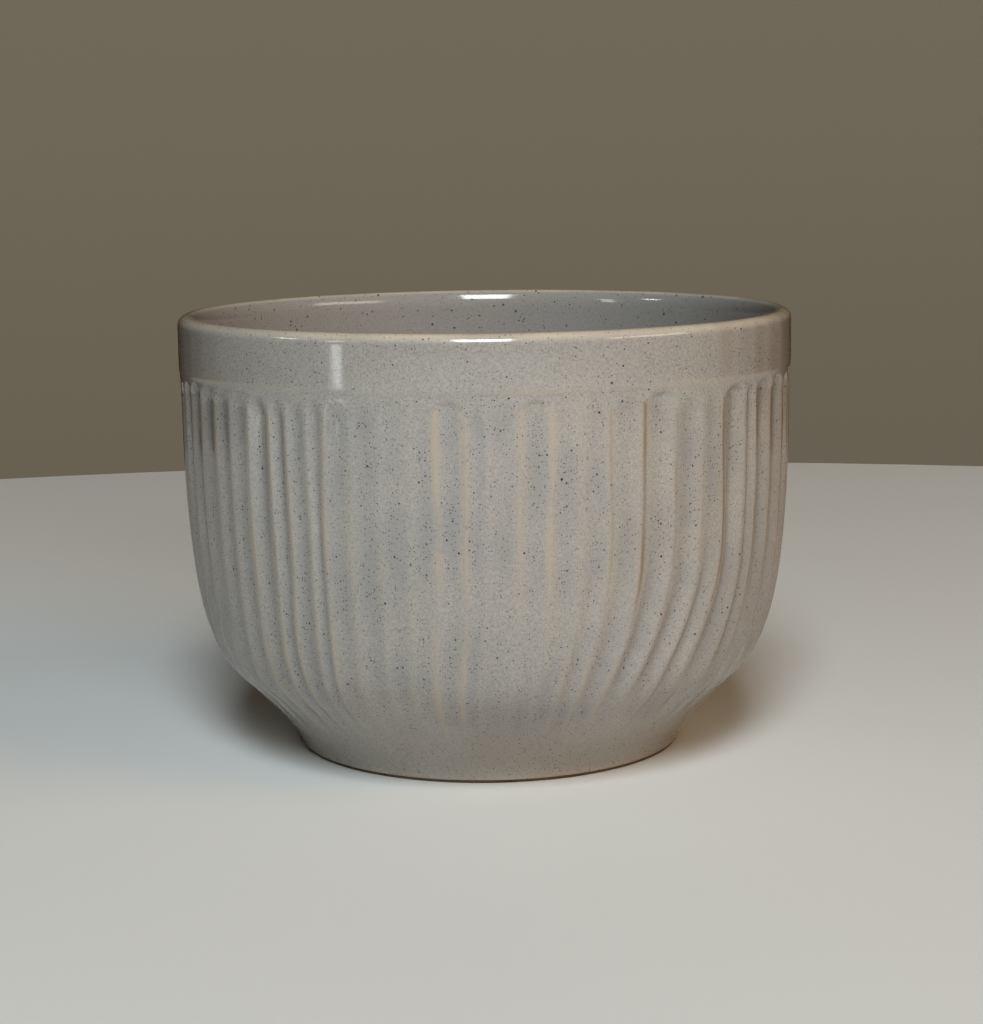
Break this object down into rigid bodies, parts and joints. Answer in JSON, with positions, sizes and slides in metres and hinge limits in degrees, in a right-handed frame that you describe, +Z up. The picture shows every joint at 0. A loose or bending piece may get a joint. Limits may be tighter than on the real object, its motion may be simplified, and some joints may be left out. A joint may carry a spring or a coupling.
{
  "type": "bowl",
  "caption": "Deep round stoneware bowl with a fluted side, a plain band under a rounded lip and a low foot ring, for serving or mixing food.",
  "frame": {"origin": "on the table, at the bowl's axis, level with the bearing face of the foot ring", "axes": "+Z up along the bowl's axis; the picture looks along +Y with +X to its right"},
  "size_m": [0.14, 0.14, 0.1],
  "materials": {
    "stoneware": "bare fired clay, matt and gritty",
    "glaze": "glossy warm grey glaze with dark iron speckles"
  },
  "bodies": {
    "root": {"stoneware_body": "stoneware", "exterior_glaze": "glaze", "interior_glaze": "glaze", "base_glaze": "glaze"}
  },
  "joints": []
}
